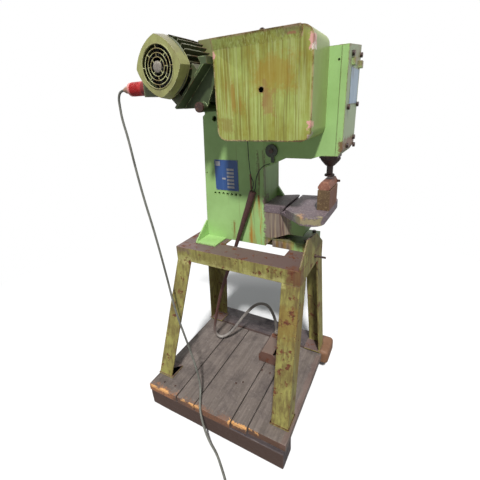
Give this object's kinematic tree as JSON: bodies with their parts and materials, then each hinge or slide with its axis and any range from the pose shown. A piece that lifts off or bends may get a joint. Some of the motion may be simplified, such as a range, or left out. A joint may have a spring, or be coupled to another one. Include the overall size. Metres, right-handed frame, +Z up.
{
  "type": "mechanical stamping press",
  "caption": "Bench-size mechanical stamping press with a deep open throat, side flywheel under a sheet guard, belt motor and foot trip, on an angle-iron stand and a heavy timber base.",
  "frame": {"origin": "on the floor under the timber base, midway along it and 420 mm behind its near edge", "axes": "+X from the motor end to the ram end, -Y towards the flywheel guard, +Z up"},
  "size_m": [1.0118, 1.2261, 1.8693],
  "materials": {
    "press_green": "worn light green enamel with rust runs",
    "guard_green": "sun-faded yellow green enamel, rain-streaked and scratched",
    "stand_olive": "olive paint with brown rust bleeding through",
    "rusty_steel": "brown surface rust over old paint",
    "bare_steel": "dull machined steel",
    "cast_iron": "dark oily iron",
    "motor_green": "dark dusty olive enamel",
    "cowl_green": "khaki green enamel, chalky",
    "timber": "weathered grey-brown boards, worn and stained",
    "cable_grey": "dull grey sheath",
    "plug_red": "sun-faded red plastic",
    "gland_pink": "faded pinkish gland",
    "hose_grey": "dirty grey sheath",
    "sheath_brown": "dark brown perished rubber",
    "wire_dark": "dark greasy wire",
    "plate_blue": "blue printed plate, bare of text",
    "label_grey": "pale blue-grey plate, bare",
    "pedal_brown": "dark brown-red cast housing",
    "belt_rubber": "black rubber",
    "bronze": "bronze bush"
  },
  "bodies": {
    "press": {"deck_planks": "timber", "bearers": "timber", "leg_near_left": "stand_olive", "leg_near_right": "stand_olive", "leg_far_left": "stand_olive", "leg_far_right": "stand_olive", "long_rails": "stand_olive", "end_rails": "stand_olive", "end_plate": "stand_olive", "press_feet": "press_green", "side_plate_near": "press_green", "side_plate_far": "press_green", "back_plate": "press_green", "throat_web": "press_green", "jaw_web": "press_green", "table": "rusty_steel", "lower_die": "rusty_steel", "die_cap": "rusty_steel", "head_front_plate": "press_green", "gibs": "cast_iron", "shaft_bushes": "bronze", "pivot_pins": "bare_steel", "motor_housing": "motor_green", "fan_cowl": "cowl_green", "motor_bearings": "bare_steel", "v_belt": "belt_rubber", "motor_bracket": "motor_green", "bracket_bolts": "rusty_steel", "guard": "guard_green", "belt_cover": "guard_green", "cable_sheath": "sheath_brown", "trip_wires": "wire_dark", "hose": "hose_grey", "foot_switch": "pedal_brown", "pedal_spring": "bare_steel", "nameplate": "plate_blue", "label_plate": "label_grey", "head_bolts": "rusty_steel", "stand_bolts": "rusty_steel", "eye_bolt": "rusty_steel", "plug_inlet": "plug_red", "mains_plug": "plug_red", "mains_cable": "cable_grey", "cable_coil": "cable_grey", "far_plug": "plug_red"},
    "crank": {"main_shaft": "bare_steel", "clutch_collar": "bare_steel"},
    "clutch": {"clutch_pin": "bare_steel"},
    "flywheel": {"flywheel": "cast_iron", "flywheel_bush": "bronze"},
    "conrod": {"connecting_rod": "cast_iron"},
    "rocker": {"rocker": "cast_iron"},
    "ram": {"ram": "bare_steel", "ram_nut": "rusty_steel", "punch": "rusty_steel"},
    "rotor": {"rotor": "bare_steel", "motor_fan": "belt_rubber", "motor_pulley": "cast_iron"},
    "cam": {"trip_cam": "rusty_steel"},
    "pedal": {"foot_pedal": "pedal_brown"}
  },
  "joints": [
    {"name": "flywheel_spin", "type": "hinge", "parent": "press", "child": "flywheel", "pos_m": [0.2205, -0.04, 1.651], "axis": [0, 1, 0], "continuous": true},
    {"name": "motor_spin", "type": "hinge", "parent": "press", "child": "rotor", "pos_m": [-0.1675, -0.04, 1.753], "axis": [0, 1, 0], "continuous": true},
    {"name": "crank_spin", "type": "hinge", "parent": "press", "child": "crank", "pos_m": [0.2205, 0.11, 1.651], "axis": [0, 1, 0], "continuous": true},
    {"name": "rod_swing", "type": "hinge", "parent": "crank", "child": "conrod", "pos_m": [0.2205, 0.11, 1.645], "axis": [0, 1, 0], "continuous": true},
    {"name": "clutch_slide", "type": "slide", "parent": "crank", "child": "clutch", "axis": [0, 1, 0], "range_m": [0, 0.0088]},
    {"name": "ram_slide", "type": "slide", "parent": "press", "child": "ram", "axis": [0, 0, -1], "range_m": [0, 0.0104]},
    {"name": "rocker_swing", "type": "hinge", "parent": "press", "child": "rocker", "pos_m": [0.325, 0.11, 1.48], "axis": [0, 1, 0], "range_deg": [0, 6.6]},
    {"name": "pedal_press", "type": "hinge", "parent": "press", "child": "pedal", "pos_m": [0.12, 0.1, 0.192], "axis": [0, 1, 0], "range_deg": [0, 12], "stiffness_Nm_per_rad": 6, "springref_deg": -17.19, "deforming": ["pedal_spring"]},
    {"name": "cam_turn", "type": "hinge", "parent": "press", "child": "cam", "pos_m": [0.1765, 0.01, 1.407], "axis": [0, 1, 0], "range_deg": [0, 20], "deforming": ["trip_wires"]}
  ],
  "couplings": [
    {"joint": "motor_spin", "follows": "flywheel_spin", "ratio": 3.9557},
    {"joint": "rod_swing", "follows": "crank_spin", "ratio": -1},
    {"joint": "rocker_swing", "follows": "ram_slide", "rad_per_m": 11},
    {"joint": "cam_turn", "follows": "pedal_press", "ratio": 1.6666},
    {"joint": "clutch_slide", "follows": "pedal_press", "m_per_rad": 0.0415}
  ]
}
